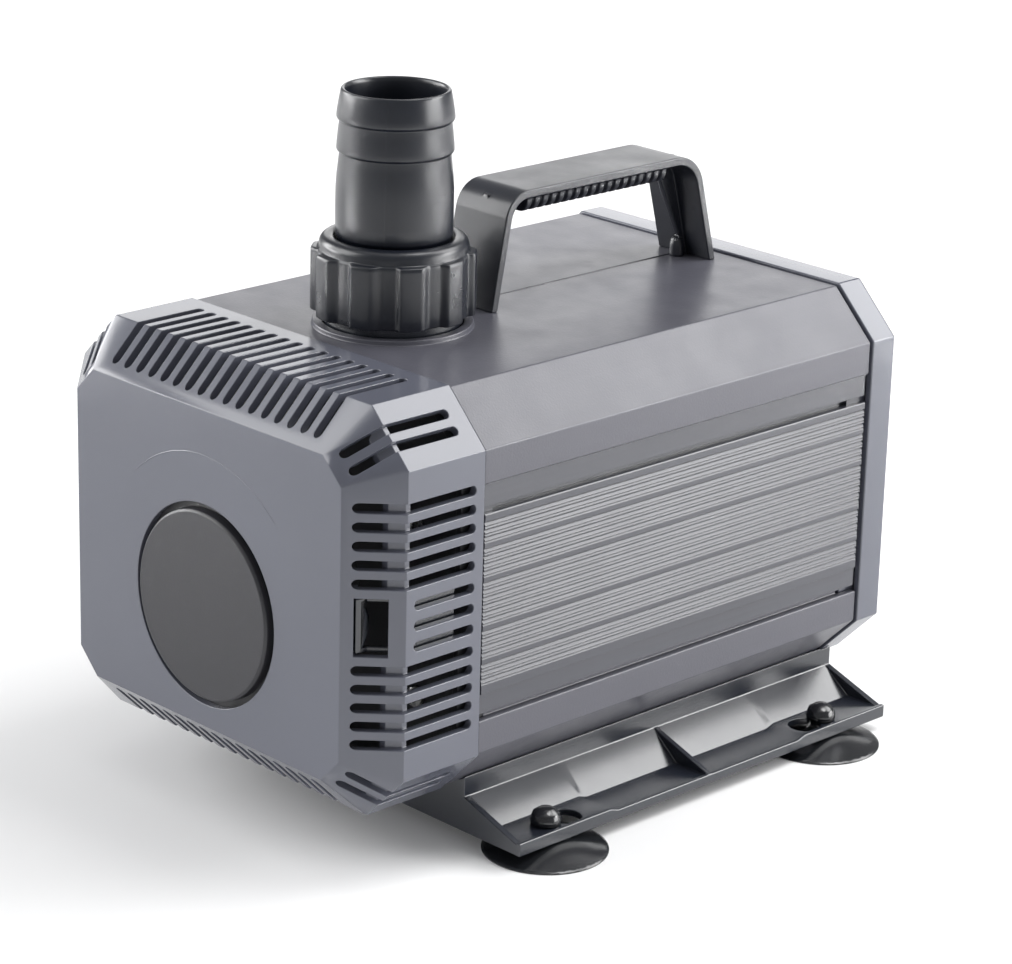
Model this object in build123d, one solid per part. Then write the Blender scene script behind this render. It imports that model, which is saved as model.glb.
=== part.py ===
from build123d import *
import math
import os

# Submersible fountain pump: strainer cage in front, pump and canned motor in a
# faceted housing, hose union on top, suction-cup bracket below.
# Millimetres, +Z up, ground at z = 0.  Every piece is drawn with y = 0 on the flat
# front face of the strainer and +y running rearwards; save() then slides it to the
# middle of the overall length.

# ---- overall body -------------------------------------------------------------
BODY_HALF_WIDTH = 84.0
BODY_BOTTOM = 23.1
BODY_TOP = 166.7
BODY_MID = (BODY_BOTTOM + BODY_TOP) / 2
CORNER = 18.0               # 45 degree corner of the octagonal section
CAP_PROUD = 1.5             # inlet cap stands this far out of the front face
COVER_REAR = 254.5
GLAND_LENGTH = 14.0         # cord gland behind the rear cover
OVERALL_LENGTH = CAP_PROUD + COVER_REAR + GLAND_LENGTH
FRONT_Y = CAP_PROUD - OVERALL_LENGTH / 2

# ---- strainer cage ------------------------------------------------------------
CAGE_DEPTH = 49.1
CAGE_WALL = 3.0
CAGE_BEVEL = 15.2
SLOT_WIDTH = 3.4
SLOT_PITCH = 6.54
SLOT_REACH = 18.0           # cutters go this deep, through the front bevel as well
TIE_INSET = 2.1             # ribs behind the slots, where the bevel meets the side
TIE_START = 12.2
TIE_END = 18.2
TOP_SLOTS = 17
TOP_SLOT_START = 3.3
TOP_SLOT_END = 42.5
SIDE_SLOT_START = 2.6
SIDE_SLOT_END = 45.3
SIDE_SLOT_LEVELS = (15.0, 21.5, 28.0, 34.5, 41.0)
LATCH_SLOT_LEVELS = (-7.2, 0.0, 7.2)
WINDOW_HEIGHT = 20.2
WINDOW_START = 4.4          # along the bevel, from its front edge
WINDOW_LENGTH = 11.3
LATCH_PIVOT_ALONG = 2.2
LATCH_PIVOT_DEPTH = 5.6
LATCH_PIVOT_RADIUS = 1.5
LATCH_HEIGHT = WINDOW_HEIGHT - 1.2
LATCH_LUG = 2.2
LATCH_RAIL = 1.6            # left above and below the opening in the lever
LATCH_PAD = 4.6             # width of the finger pad, and the curve of its edge
LATCH_PAD_CURVE = 19.0

# ---- pump axis and inlet ------------------------------------------------------
AXIS_Z = 82.4
INLET_OPENING = 36.0
INLET_CAP = 33.6
INLET_FLANGE = 39.5

# ---- housing ------------------------------------------------------------------
SKIN_INSET = 0.8            # housing skin is set in from the cage and rear cover
SKIN = 2.8
HOUSING_FRONT = 49.6
HOUSING_REAR = 241.4
COVER_FRONT = 242.2
TOP_LIP = 136.5
LINE_X = -2.8               # shallow line along the top, between the handle's legs
BOTTOM_LIP = 52.9
PANEL_BOTTOM = 55.2
PANEL_TOP = 136.3
FIN_TOP = 126.05
FIN_BOTTOM = 62.4
FIN_MIDDLE = 94.6            # the groups of grooves are laid out about this level
FIN_EDGE = 0.35             # chamfer along the top of the grooved block
NOTCH_HEIGHT = 2.0          # shadow gap above the grooved block
NOTCH_BACKING = 2.0
FIN_PITCH = 2.63
FIN_GAP = 1.4               # extra flat land between two groups of grooves
FIN_GROUPS = (3, 4, 6, 4, 3)

# ---- rear end -----------------------------------------------------------------
COVER_BEVEL = 0.8
COVER_SCREWS = [(x, z) for x in (-66, 66) for z in (BODY_MID - 46, BODY_MID + 46)]
CRADLE_FRONT = 205.0
CRADLE_REAR = 209.0
GLAND_Z = 46.0
GLAND_THREAD = 7.5
GLAND_BORE = 4.0

# ---- outlet union -------------------------------------------------------------
OUTLET_Y = 84.1
OUTLET_BORE = 17.0
BOSS_RADIUS = 28.0
BOSS_TOP = 167.8
STUB_RADIUS = 24.0
STUB_NECK = 18.4
STUB_TOP = 184.5
SEAL_THICK = 2.5
TAIL_FLANGE_RADIUS = 23.6
TAIL_FLANGE = 4.0
TAIL_RADIUS = 20.3
TAIL_NECK = 19.6            # slimmer where the nut turns around it
BARREL_BOTTOM = 198.2       # clamping length of the hose, just above the nut
BARREL_TOP = 214.5
TAIL_TOP = 248.8
NUT_BOTTOM = 170.8
NUT_SHOULDER = 193.0
NUT_TOP = 197.8
NUT_RADIUS = 28.65
NUT_COLLAR = 25.5
NUT_FLUTES = 10
NUT_FLUTE_TURN = -10.5      # degrees, where the first flute sits
NUT_FLUTE_RADIUS = 5.0

# ---- pump and motor stations along y ------------------------------------------
BULKHEAD_FRONT = 50.4
BULKHEAD_REAR = 54.0
VOLUTE_COVER_FRONT = 62.0
VOLUTE_FRONT = 65.5
VOLUTE_REAR = 105.5
SLEEVE_FLANGE_REAR = 108.5
MOTOR_FLANGE_REAR = 113.0
MOTOR_REAR = 219.0
VOLUTE_RADIUS = 50.0
CHAMBER_RADIUS = 45.0
EAR_CIRCLE = 52.0
EAR_RADIUS = 4.6
EAR_ANGLES = (0, 60, 120, 180, 240, 300)
SHAFT_RADIUS = 3.0
RUNNING_GAP = 0.05
SLEEVE_BORE = 16.8
SLEEVE_RADIUS = 18.2
SLEEVE_REAR = 196.0
BULKHEAD_SCREWS = [(x, z) for x in (-52, 52) for z in (AXIS_Z - 30, AXIS_Z + 30)]
COIL_SLOTS = 6
COIL_CIRCLE = 30.0
COIL_BAR = 5.6
CORE_FRONT = 132.0
CORE_REAR = 186.0
IMPELLER_RADIUS = 40.0
IMPELLER_BLADES = 6

# ---- carry handle -------------------------------------------------------------
HANDLE_HALF_WIDTH = 13.0
HANDLE_FRONT = 118.9
HANDLE_REAR = 233.6
HANDLE_TOP = 207.6
HANDLE_STRAP = 3.0
FRONT_LEAN = 0.188          # sideways lean of the legs per millimetre of height
REAR_LEAN = 0.27
FRONT_KNEE = 11.0
REAR_KNEE = 14.4
GRIP_START = 137.0
GRIP_RIBS = 18
GRIP_PITCH = 4.0
GRIP_RIB = 2.4
GRIP_HALF_WIDTH = 12.2
GRIP_RIB_DEPTH = 0.9
GRIP_ROUND = 4.4
GRIP_DEPTH = 8.6            # from the top of the handle to the bottom of the grip
WEB_HALF = 1.2
WEB_FOOT = 3.2              # reach of a leg's web at the foot, into the screw boss
WEB_REACH = 8.0             # and under the grip
HANDLE_BOSS = 2.9
HANDLE_SCREW_Y = (126.2, 226.4)

# ---- base bracket and suction cups --------------------------------------------
BRACKET_FRONT = 58.2
BRACKET_REAR = 247.2
BRACKET_HALF_WIDTH = 95.6
BRACKET_WALL_X = 68.0
BRACKET_BOTTOM = 5.0
BRACKET_SKIN = 2.4
RIM_TOP = 8.6
RIM_THICK = 1.8
PAD_RISE = 1.2
PAD_LENGTH = 44.0
PAD_RAMP = 4.0
STRIP_BOTTOM = 17.9
STRIP_TOP = 25.3
DECK_TOP = BODY_BOTTOM + SKIN_INSET
BRACKET_SCREW_X = 40.0
BRACKET_SCREW_Y = (82.0, 216.0)
SCREW_HOLE = 1.7
CUP_X = 88.0
CUP_Y = (78.0, 220.0)
CUP_RADIUS = 22.0
CUP_NECK = 3.6
KEYHOLE_STEP = 9.0          # from the neck to the wide end of the keyhole
KEYHOLE_RADIUS = 5.9

os.makedirs("parts", exist_ok=True)


def save(name, shape):
    """Write one node, moved from front-face stations to the part's own frame."""
    export_step(Pos(0, FRONT_Y, 0) * shape, f"parts/{name}.step")


def block(x0, x1, y0, y1, z0, z1):
    centre = ((x0 + x1) / 2, (y0 + y1) / 2, (z0 + z1) / 2)
    return Pos(*centre) * Box(abs(x1 - x0), abs(y1 - y0), abs(z1 - z0))


def rod_y(x, z, radius, y0, y1):
    return Pos(x, (y0 + y1) / 2, z) * Rot(90, 0, 0) * Cylinder(radius, y1 - y0)


def rod_z(x, y, radius, z0, z1):
    return Pos(x, y, (z0 + z1) / 2) * Cylinder(radius, z1 - z0)


def tube_y(x, z, outer, inner, y0, y1):
    return rod_y(x, z, outer, y0, y1) - rod_y(x, z, inner, y0 - 1, y1 + 1)


def tube_z(x, y, outer, inner, z0, z1):
    return rod_z(x, y, outer, z0, z1) - rod_z(x, y, inner, z0 - 1, z1 + 1)


def turned_y(points, z):
    """Solid of revolution about the y axis at height z, from (radius, y) points."""
    face = make_face(Polyline(*points, close=True))
    return Pos(0, 0, z) * revolve(face, Axis.Y)


def turned_z(points, x, y):
    """Solid of revolution about a vertical axis, from (radius, z) points."""
    face = Plane.XZ * make_face(Polyline(*points, close=True))
    return Pos(x, y, 0) * revolve(face, Axis.Z)


def section(points, y0, y1):
    """Straight bar along y with an (x, z) cross-section."""
    face = Plane.XZ * make_face(Polyline(*points, close=True))
    return Pos(0, y0, 0) * extrude(face, amount=y1 - y0, dir=(0, 1, 0))


def octagon(inset, y0, y1):
    """Bar with the body's octagonal section, every face moved in by inset."""
    half = BODY_HALF_WIDTH - inset
    low = BODY_BOTTOM + inset
    high = BODY_TOP - inset
    cut = CORNER - inset * (2 - math.sqrt(2))
    points = [
        (half - cut, low), (half, low + cut), (half, high - cut), (half - cut, high),
        (cut - half, high), (-half, high - cut), (-half, low + cut), (cut - half, low),
    ]
    return section(points, y0, y1)


def octagon_ring(outer_inset, inner_inset, y0, y1):
    return octagon(outer_inset, y0, y1) - octagon(inner_inset, y0 - 1, y1 + 1)


def front_bevelled(inset, y0, y1, bevel):
    """Octagonal bar whose front edges are cut back at 45 degrees."""
    bar = octagon(inset, y0, y1)
    front = bar.faces().sort_by(Axis.Y)[0]
    return chamfer(front.edges(), bevel)


def screw_y(x, z, y_head, y_tip, shank, head, head_height, toward=1):
    """Pan-head screw along y; its head stands at y_head, its shank ends at y_tip."""
    shank_low, shank_high = sorted((y_head, y_tip))
    head_low, head_high = sorted((y_head, y_head - toward * head_height))
    body = rod_y(x, z, shank, shank_low, shank_high) + rod_y(x, z, head, head_low, head_high)
    slot_depth = head_height * 0.5
    slot_y = sorted((y_head - toward * head_height, y_head - toward * slot_depth))
    cross = block(x - head * 0.6, x + head * 0.6, *slot_y, z - 0.4, z + 0.4)
    cross += block(x - 0.4, x + 0.4, *slot_y, z - head * 0.6, z + head * 0.6)
    return body - cross


def screw_z(x, y, z_head, z_tip, shank, head, head_height):
    """Pan-head screw pointing up; the head hangs below z_head."""
    body = rod_z(x, y, shank, z_head, z_tip) + rod_z(x, y, head, z_head - head_height, z_head)
    bottom = z_head - head_height
    cross = block(x - head * 0.6, x + head * 0.6, y - 0.4, y + 0.4, bottom, bottom + 1)
    cross += block(x - 0.4, x + 0.4, y - head * 0.6, y + head * 0.6, bottom, bottom + 1)
    return body - cross


def mirrored(shape):
    return mirror(shape, about=Plane.YZ)


# ---- strainer -----------------------------------------------------------------
def slot_bar(start, end, depth):
    """Round-ended slot cutter lying along y, centred on the x = 0, z = 0 line."""
    outline = Pos(0, (start + end) / 2) * Rot(0, 0, 90) * SlotOverall(end - start, SLOT_WIDTH)
    return extrude(outline, amount=depth, both=True)


def bevel_point(along, out):
    """(x, y) of a point on the right-hand front bevel: along it, and out of it."""
    x = BODY_HALF_WIDTH - CAGE_BEVEL + (along + out) / math.sqrt(2)
    y = (along - out) / math.sqrt(2)
    return x, y


def latch_window():
    """Cutter through the right-hand bevel for the finger pad of the latch."""
    corners = [
        bevel_point(WINDOW_START, 2), bevel_point(WINDOW_START + WINDOW_LENGTH, 2),
        bevel_point(WINDOW_START + WINDOW_LENGTH, -CAGE_WALL - 2),
        bevel_point(WINDOW_START, -CAGE_WALL - 2),
    ]
    face = make_face(Polyline(*corners, close=True))
    return Pos(0, 0, BODY_MID - WINDOW_HEIGHT / 2) * extrude(face, amount=WINDOW_HEIGHT)


LATCH_PIVOT = bevel_point(LATCH_PIVOT_ALONG, -LATCH_PIVOT_DEPTH)


def latch_lug(side):
    """Ear inside the cage that carries one end of the latch pivot."""
    z0 = BODY_MID + side * (LATCH_HEIGHT / 2 + 0.3)
    z1 = z0 + side * LATCH_LUG
    z_low, z_high = sorted((z0, z1))
    wall = -CAGE_WALL + 0.6
    corners = [
        bevel_point(-1.2, wall), bevel_point(5.4, wall),
        bevel_point(5.4, -8.2), bevel_point(-1.2, -8.2),
    ]
    face = make_face(Polyline(*corners, close=True))
    ear = Pos(0, 0, z_low) * extrude(face, amount=z_high - z_low)
    return ear - rod_z(*LATCH_PIVOT, LATCH_PIVOT_RADIUS + RUNNING_GAP, z_low - 1, z_high + 1)


def slot_ties():
    """Ribs that join the bars of the side slots, set back from the outer surface."""
    tie_bevel = CAGE_BEVEL - TIE_INSET * (2 - math.sqrt(2))
    deep = CAGE_WALL + 1.2
    deep_bevel = CAGE_BEVEL - deep * (2 - math.sqrt(2))
    ties = front_bevelled(TIE_INSET, TIE_INSET, TIE_END, tie_bevel)
    ties -= front_bevelled(deep, deep, CAGE_DEPTH, deep_bevel)
    ties &= block(-90, 90, TIE_START, TIE_END, 0, 200)
    ties -= block(-68, 68, 0, CAGE_DEPTH, 0, 200)
    latch_room = LATCH_HEIGHT / 2 + LATCH_LUG + 0.6
    return ties - block(-90, 90, 0, CAGE_DEPTH, BODY_MID - latch_room, BODY_MID + latch_room)


def strainer_cage():
    outer = front_bevelled(0, 0, CAGE_DEPTH, CAGE_BEVEL)
    inner_bevel = CAGE_BEVEL - CAGE_WALL * (2 - math.sqrt(2))
    cage = outer - front_bevelled(CAGE_WALL, CAGE_WALL, CAGE_DEPTH + 1, inner_bevel)
    cage -= rod_y(0, AXIS_Z, INLET_OPENING, -1, CAGE_WALL + 1)
    cutters = []
    for i in range(TOP_SLOTS):
        x = (i - (TOP_SLOTS - 1) / 2) * SLOT_PITCH
        bar = slot_bar(TOP_SLOT_START, TOP_SLOT_END, SLOT_REACH)
        cutters += [Pos(x, 0, BODY_TOP) * bar, Pos(x, 0, BODY_BOTTOM) * bar]
    side_bar = Rot(0, 90, 0) * slot_bar(SIDE_SLOT_START, SIDE_SLOT_END, SLOT_REACH)
    short_bar = Rot(0, 90, 0) * slot_bar(CAGE_BEVEL + 3.6, SIDE_SLOT_END, SLOT_REACH)
    for x in (-BODY_HALF_WIDTH, BODY_HALF_WIDTH):
        for level in SIDE_SLOT_LEVELS:
            cutters += [Pos(x, 0, BODY_MID + level) * side_bar]
            cutters += [Pos(x, 0, BODY_MID - level) * side_bar]
        for level in LATCH_SLOT_LEVELS:
            cutters.append(Pos(x, 0, BODY_MID + level) * short_bar)
    corner_x = BODY_HALF_WIDTH - CORNER / 2
    corner_z = (BODY_TOP - BODY_BOTTOM) / 2 - CORNER / 2
    corner_bar = slot_bar(TOP_SLOT_START, TOP_SLOT_END, SLOT_REACH)
    for sx in (-1, 1):
        for sz in (-1, 1):
            tilt = Rot(0, sx * sz * 45, 0)
            for offset in (-SLOT_PITCH / 2, SLOT_PITCH / 2):
                place = Pos(sx * corner_x, 0, BODY_MID + sz * corner_z) * tilt
                cutters.append(place * Pos(offset, 0, 0) * corner_bar)
    window = latch_window()
    cutters += [window, mirrored(window)]
    cage = cage - cutters + slot_ties()
    for side in (-1, 1):
        lug = latch_lug(side)
        cage += lug
        cage += mirrored(lug)
    return cage


def inlet_cap():
    profile = [
        (0, -CAP_PROUD), (INLET_CAP - 0.8, -CAP_PROUD), (INLET_CAP, -CAP_PROUD + 0.8),
        (INLET_CAP, CAGE_WALL), (INLET_FLANGE, CAGE_WALL), (INLET_FLANGE, CAGE_WALL + 2),
        (INLET_CAP - 3, CAGE_WALL + 2), (INLET_CAP - 3, 1.5), (0, 1.5),
    ]
    return turned_y(profile, AXIS_Z)


def latch():
    """Right-hand squeeze latch: finger pad, arm along the inside wall, and nose."""
    inner_x = BODY_HALF_WIDTH - CAGE_WALL
    arm = [
        bevel_point(2.2, -4.1), bevel_point(WINDOW_START + 0.5, -3.4),
        bevel_point(WINDOW_START + 0.5, -1.1), bevel_point(WINDOW_START + 2.4, -1.9),
        bevel_point(WINDOW_START + 4.4, -3.6), bevel_point(19.5, -3.6),
        (inner_x - 0.6, 17.4), (inner_x - 0.6, 40.0),
        (inner_x - 2.6, 40.0), (inner_x - 2.6, 18.2),
        bevel_point(18.6, -5.6), bevel_point(WINDOW_START + 4.6, -5.6),
        bevel_point(2.2, -7.1),
    ]
    low = BODY_MID - LATCH_HEIGHT / 2
    lever = Pos(0, 0, low) * extrude(make_face(Polyline(*arm, close=True)), amount=LATCH_HEIGHT)
    pivot_half = LATCH_HEIGHT / 2 + 0.3 + LATCH_LUG
    pivot = rod_z(*LATCH_PIVOT, LATCH_PIVOT_RADIUS, BODY_MID - pivot_half, BODY_MID + pivot_half)
    nose = block(inner_x - 3.8, inner_x - 0.6, 37.0, 40.0, low, low + LATCH_HEIGHT)
    return lever - latch_opening() + pivot + nose


def latch_opening():
    """Hole through the lever beside its finger pad; the pad bulges into it."""
    corners = [
        bevel_point(WINDOW_START + 2.2, -0.5), bevel_point(WINDOW_START + WINDOW_LENGTH - 0.3, -0.5),
        bevel_point(WINDOW_START + WINDOW_LENGTH - 0.3, -8), bevel_point(WINDOW_START + 2.2, -8),
    ]
    half = LATCH_HEIGHT / 2 - LATCH_RAIL
    hole = Pos(0, 0, BODY_MID - half) * extrude(make_face(Polyline(*corners, close=True)), amount=2 * half)
    inward = bevel_point(0, -1)
    outward = bevel_point(0, 0)
    direction = (outward[0] - inward[0], outward[1] - inward[1], 0)
    middle = bevel_point(WINDOW_START + LATCH_PAD - LATCH_PAD_CURVE, -10)
    bulge = Plane(origin=(*middle, BODY_MID), z_dir=direction) * Circle(LATCH_PAD_CURVE)
    return hole - extrude(bulge, amount=14)


# ---- housing ------------------------------------------------------------------
def top_housing():
    ring = octagon_ring(SKIN_INSET, SKIN_INSET + SKIN, HOUSING_FRONT, HOUSING_REAR)
    shell = ring & block(-90, 90, HOUSING_FRONT, HOUSING_REAR, TOP_LIP, 180)
    shell += rod_z(0, OUTLET_Y, BOSS_RADIUS, BODY_TOP - SKIN_INSET - SKIN, BOSS_TOP)
    shell -= rod_z(0, OUTLET_Y, STUB_RADIUS + 0.6, 150, 180)
    for y in HANDLE_SCREW_Y:
        shell -= rod_z(0, y, 1.7, 150, 180)
    line = block(LINE_X - 0.25, LINE_X + 0.25, HANDLE_FRONT + 4, HANDLE_REAR - 4,
                 BODY_TOP - SKIN_INSET - 0.35, BODY_TOP)
    return shell - line


def bottom_housing():
    ring = octagon_ring(SKIN_INSET, SKIN_INSET + SKIN, HOUSING_FRONT, HOUSING_REAR)
    shell = ring & block(-90, 90, HOUSING_FRONT, HOUSING_REAR, 0, BOTTOM_LIP)
    ledge_x = BODY_HALF_WIDTH - SKIN_INSET - SKIN
    for side in (-1, 1):
        x0, x1 = sorted((side * ledge_x, side * (ledge_x - 2.4)))
        shell += block(x0, x1, BULKHEAD_REAR, HOUSING_REAR - 8, BOTTOM_LIP - 8, PANEL_BOTTOM + 4)
    for x in (-BRACKET_SCREW_X, BRACKET_SCREW_X):
        for y in BRACKET_SCREW_Y:
            shell -= rod_z(x, y, SCREW_HOLE, 20, 32)
    return shell


def groove(level, half_width, depth, face_x):
    """V-shaped groove in the right-hand panel face, as an (x, z) triangle."""
    return [(face_x, level + half_width), (face_x - depth, level), (face_x, level - half_width)]


def side_panel():
    """Right-hand panel: plain strips with a raised, finely grooved block between."""
    inner = BODY_HALF_WIDTH - SKIN_INSET - SKIN
    strip = inner + 2.1
    face = BODY_HALF_WIDTH - SKIN_INSET
    notch_top = FIN_TOP + NOTCH_HEIGHT
    outline = [(inner, PANEL_TOP), (strip, PANEL_TOP), (strip, notch_top + 0.5)]
    outline += [(strip - 1.4, notch_top), (strip - 1.4, FIN_TOP)]
    outline += [(face - FIN_EDGE, FIN_TOP), (face, FIN_TOP - FIN_EDGE)]
    rows = sum(FIN_GROUPS)
    span = rows * FIN_PITCH + (len(FIN_GROUPS) - 1) * FIN_GAP
    level = FIN_MIDDLE + span / 2 - FIN_PITCH / 2
    for count in FIN_GROUPS:
        for _ in range(count):
            outline += groove(level + 0.5, 0.72, 0.6, face)
            outline += groove(level - 0.8, 0.42, 0.35, face)
            level -= FIN_PITCH
        level -= FIN_GAP
    outline += [(face, FIN_BOTTOM), (strip, FIN_BOTTOM), (strip, PANEL_BOTTOM), (inner, PANEL_BOTTOM)]
    panel = section(outline, HOUSING_FRONT + 0.8, HOUSING_REAR - 1.0)
    back = inner - NOTCH_BACKING
    front, rear = BULKHEAD_REAR + 0.6, HOUSING_REAR - 8
    panel += block(back, inner + 0.2, front, rear, FIN_TOP - 1.5, notch_top + 1.5)
    return panel - block(back + 0.8, face, front + 1, rear - 1, FIN_TOP, notch_top)


def rear_cover():
    cover = octagon(0, COVER_FRONT, COVER_REAR)
    rear = cover.faces().sort_by(Axis.Y)[-1]
    cover = chamfer(rear.edges(), COVER_BEVEL)
    cover -= octagon(SKIN, COVER_FRONT - 1, COVER_REAR - 5.5)
    spigot_inset = SKIN_INSET + SKIN + 0.15
    cover += octagon_ring(spigot_inset, spigot_inset + 2.4, 235.0, COVER_REAR - 5)
    cover += rod_y(0, GLAND_Z, 13.0, COVER_REAR - 7, COVER_REAR)
    cover -= rod_y(0, GLAND_Z, GLAND_THREAD + 0.1, COVER_REAR - 9, COVER_REAR + 1)
    for x, z in COVER_SCREWS:
        cover += rod_y(x, z, 4.6, COVER_FRONT - 3.0, COVER_REAR - 4)
        cover -= rod_y(x, z, 1.75, COVER_FRONT - 5, COVER_REAR + 1)
        cover -= rod_y(x, z, 3.6, COVER_REAR - 2.6, COVER_REAR + 1)
    return cover


def hexagon_y(across, y0, y1, x, z):
    """Hexagonal bar along y, measured across its flats."""
    radius = across / math.sqrt(3)
    angles = [math.radians(60 * k) for k in range(6)]
    points = [(x + radius * math.cos(a), z + radius * math.sin(a)) for a in angles]
    return section(points, y0, y1)


def cord_gland():
    body = rod_y(0, GLAND_Z, GLAND_THREAD, COVER_REAR - 13, COVER_REAR + 10)
    body += hexagon_y(20, COVER_REAR, COVER_REAR + 4.5, 0, GLAND_Z)
    body -= rod_y(0, GLAND_Z, GLAND_BORE + 0.6, COVER_REAR - 14, COVER_REAR + 2)
    body -= rod_y(0, GLAND_Z, 6.0, COVER_REAR + 1, COVER_REAR + 11)
    return body


def cord_gland_seal():
    return tube_y(0, GLAND_Z, 5.9, GLAND_BORE, COVER_REAR + 1.2, COVER_REAR + 11)


def cord_gland_nut():
    nut = hexagon_y(19, COVER_REAR + 4.8, COVER_REAR + 10, 0, GLAND_Z)
    nut += rod_y(0, GLAND_Z, 8.9, COVER_REAR + 9, COVER_REAR + GLAND_LENGTH)
    nut -= rod_y(0, GLAND_Z, GLAND_THREAD + 0.05, COVER_REAR + 4, COVER_REAR + 11.1)
    return nut - rod_y(0, GLAND_Z, GLAND_BORE + 0.5, COVER_REAR + 10, COVER_REAR + 20)


def cord_gland_locknut():
    nut = hexagon_y(19, COVER_REAR - 11, COVER_REAR - 7, 0, GLAND_Z)
    return nut - rod_y(0, GLAND_Z, GLAND_THREAD, COVER_REAR - 12, COVER_REAR)


def rear_cover_screws():
    screws = []
    for x, z in COVER_SCREWS:
        screws.append(screw_y(x, z, COVER_REAR - 2.6, CRADLE_REAR + 6, 1.6, 3.3, 2.2, toward=-1))
    return Compound(screws)


def rear_cradle():
    """Frame plate behind the motor; its bosses take the rear cover screws."""
    plate = octagon(SKIN_INSET + SKIN, CRADLE_FRONT, CRADLE_REAR)
    plate -= block(-90, 90, CRADLE_FRONT - 1, CRADLE_REAR + 1, BODY_TOP - 20, BODY_TOP)
    plate &= block(-77.9, 77.9, CRADLE_FRONT - 1, CRADLE_REAR + 1, 0, 200)
    plate -= rod_y(0, AXIS_Z, 49.0, CRADLE_FRONT - 1, CRADLE_REAR + 1)
    for x, z in COVER_SCREWS:
        plate += rod_y(x, z, 4.6, CRADLE_FRONT, COVER_FRONT - 3.2)
        plate -= rod_y(x, z, 1.65, CRADLE_REAR + 2, COVER_FRONT)
    return plate


def motor_mount_ring():
    return tube_y(0, AXIS_Z, 48.9, 46.1, CRADLE_FRONT - 3, CRADLE_REAR + 3)


# ---- pump end -----------------------------------------------------------------
def front_bulkhead():
    plate = octagon(SKIN_INSET + SKIN, BULKHEAD_FRONT, BULKHEAD_REAR)
    rim_inset = SKIN_INSET + SKIN
    rim = octagon_ring(rim_inset, rim_inset + 2.4, 42.0, BULKHEAD_FRONT)
    notch = block(-90, 90, 41, BULKHEAD_FRONT, BODY_MID - 11.5, BODY_MID + 11.5)
    plate += rim - notch
    plate -= rod_y(0, AXIS_Z, 22.1, 40, 60)
    for x, z in BULKHEAD_SCREWS:
        plate += rod_y(x, z, 4.5, BULKHEAD_REAR, VOLUTE_COVER_FRONT)
        plate -= rod_y(x, z, 1.7, 40, VOLUTE_COVER_FRONT + 1)
    return plate


def bulkhead_screws():
    screws = [screw_y(x, z, BULKHEAD_FRONT, 68.0, 1.6, 3.3, 2.2) for x, z in BULKHEAD_SCREWS]
    return Compound(screws)


def ears(y0, y1, radius=EAR_RADIUS):
    """Six round screw ears around the pump axis."""
    shape = []
    for angle in EAR_ANGLES:
        x = EAR_CIRCLE * math.cos(math.radians(angle))
        z = AXIS_Z + EAR_CIRCLE * math.sin(math.radians(angle))
        shape.append(rod_y(x, z, radius, y0, y1))
    return shape


def volute_cover():
    cover = rod_y(0, AXIS_Z, VOLUTE_RADIUS, VOLUTE_COVER_FRONT, VOLUTE_FRONT)
    cover += rod_y(0, AXIS_Z, 22.0, BULKHEAD_FRONT, VOLUTE_COVER_FRONT)
    cover += ears(VOLUTE_COVER_FRONT, VOLUTE_FRONT)
    cover -= rod_y(0, AXIS_Z, 19.0, 40, 70)
    cover += tube_y(0, AXIS_Z, 7.5, 5.0, 53.0, 62.0)
    for angle in (90, 210, 330):
        rib = block(6.5, 20.5, 54.0, 61.0, -1.1, 1.1)
        cover += Pos(0, 0, AXIS_Z) * Rot(0, angle, 0) * rib
    for x, z in BULKHEAD_SCREWS:
        lug = rod_y(x, z, 4.5, VOLUTE_COVER_FRONT, VOLUTE_FRONT)
        root = x * 0.7
        arm = section([(root, z - 3), (x, z - 3), (x, z + 3), (root, z + 3)],
                      VOLUTE_COVER_FRONT, VOLUTE_FRONT)
        cover += lug + arm
        cover -= rod_y(x, z, 1.6, 60, 70)
    return cover - ears(50, 70, 1.9)


def volute_seal():
    return tube_y(0, AXIS_Z, 48.6, 46.4, VOLUTE_FRONT, VOLUTE_FRONT + 1.4)


def volute_housing():
    ring = rod_y(0, AXIS_Z, VOLUTE_RADIUS, VOLUTE_FRONT, VOLUTE_REAR)
    ring += ears(VOLUTE_FRONT, VOLUTE_REAR)
    ring += rod_z(0, OUTLET_Y, STUB_NECK, AXIS_Z + 20, STUB_TOP)
    ring += rod_z(0, OUTLET_Y, STUB_RADIUS, BODY_TOP - 7, STUB_TOP)
    ring -= rod_y(0, AXIS_Z, CHAMBER_RADIUS, VOLUTE_FRONT - 1, VOLUTE_REAR + 1)
    ring -= rod_z(0, OUTLET_Y, OUTLET_BORE, AXIS_Z + 20, STUB_TOP + 1)
    ring -= tube_y(0, AXIS_Z, 48.7, 46.3, VOLUTE_FRONT - 1, VOLUTE_FRONT + 1.4)
    return ring - ears(VOLUTE_FRONT - 1, VOLUTE_REAR + 1, 1.9)


def volute_screws():
    screws = []
    for angle in EAR_ANGLES:
        x = EAR_CIRCLE * math.cos(math.radians(angle))
        z = AXIS_Z + EAR_CIRCLE * math.sin(math.radians(angle))
        screws.append(screw_y(x, z, VOLUTE_COVER_FRONT, MOTOR_FLANGE_REAR + 2, 1.8, 3.6, 2.4))
    return Compound(screws)


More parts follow.
